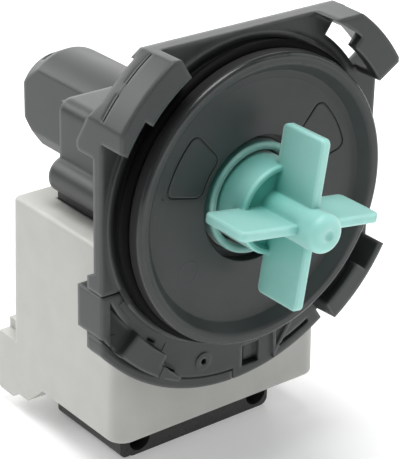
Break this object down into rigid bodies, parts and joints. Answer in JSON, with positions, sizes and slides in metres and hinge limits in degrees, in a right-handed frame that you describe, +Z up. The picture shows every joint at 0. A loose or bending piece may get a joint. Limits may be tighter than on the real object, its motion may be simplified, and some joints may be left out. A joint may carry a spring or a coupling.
{
  "type": "dishwasher drain pump",
  "caption": "Synchronous drain pump for a dishwasher sump: bayonet flange with sealing spigot, open vane impeller, rotor can and laminated stator with a plug socket.",
  "frame": {"origin": "on the rotor axis, in the plane of the spigot's front rim, at the centre of the port towards the sump", "axes": "-Y along the rotor axis out of the spigot towards the sump, +Z up as the pump stands on its core, +X to the right seen from the impeller's side"},
  "size_m": [0.0903, 0.1205, 0.1246],
  "materials": {
    "flange_plastic": "satin moulded",
    "seal_rubber": "smooth moulded",
    "impeller_plastic": "semi gloss moulded",
    "white_plastic": "fine texture",
    "core_lacquer": "dipped lacquer",
    "shaft_steel": "ground",
    "magnet_ferrite": "ground",
    "rotor_plastic": "moulded",
    "bearing_carbon": "machined",
    "former_plastic": "moulded",
    "winding_copper": "enamelled",
    "cutout_sleeve": "film sleeve",
    "tab_brass": "tinned"
  },
  "bodies": {
    "pump": {"mounting_flange": "flange_plastic", "chamber_disc": "flange_plastic", "seal_ring": "seal_rubber", "bearing_carrier": "impeller_plastic", "front_bearing_mount": "seal_rubber", "front_bearing": "bearing_carbon", "rear_bearing_mount": "seal_rubber", "rear_bearing": "bearing_carbon", "rotor_can": "flange_plastic", "pole_hood": "flange_plastic", "stator_core": "core_lacquer", "coil_housing": "white_plastic", "left_coil_former": "former_plastic", "right_coil_former": "former_plastic", "left_coil_winding": "winding_copper", "right_coil_winding": "winding_copper", "thermal_cutout": "cutout_sleeve", "plug_socket": "white_plastic", "spade_tabs": "tab_brass"},
    "rotor": {"rotor_shaft": "shaft_steel", "rotor_magnet": "magnet_ferrite", "rotor_core": "rotor_plastic", "front_thrust_washer": "shaft_steel", "rear_thrust_washer": "shaft_steel", "coupling_driver": "rotor_plastic", "coupling_damper": "seal_rubber"},
    "impeller": {"impeller": "impeller_plastic"},
    "latch": {"locking_tongue": "flange_plastic"}
  },
  "joints": [
    {"name": "rotor_spin", "type": "hinge", "parent": "pump", "child": "rotor", "pos_m": [0, 0.0365, 0], "axis": [0, 1, 0], "continuous": true},
    {"name": "impeller_free_turn", "type": "hinge", "parent": "rotor", "child": "impeller", "pos_m": [0, 0.003, 0], "axis": [0, 1, 0], "range_deg": [-97, 97]},
    {"name": "latch_flex", "type": "hinge", "parent": "pump", "child": "latch", "pos_m": [-0.02472, 0.0115, -0.04114], "axis": [-0.515, 0, -0.8572], "range_deg": [0, 9], "stiffness_Nm_per_rad": 0.1}
  ]
}
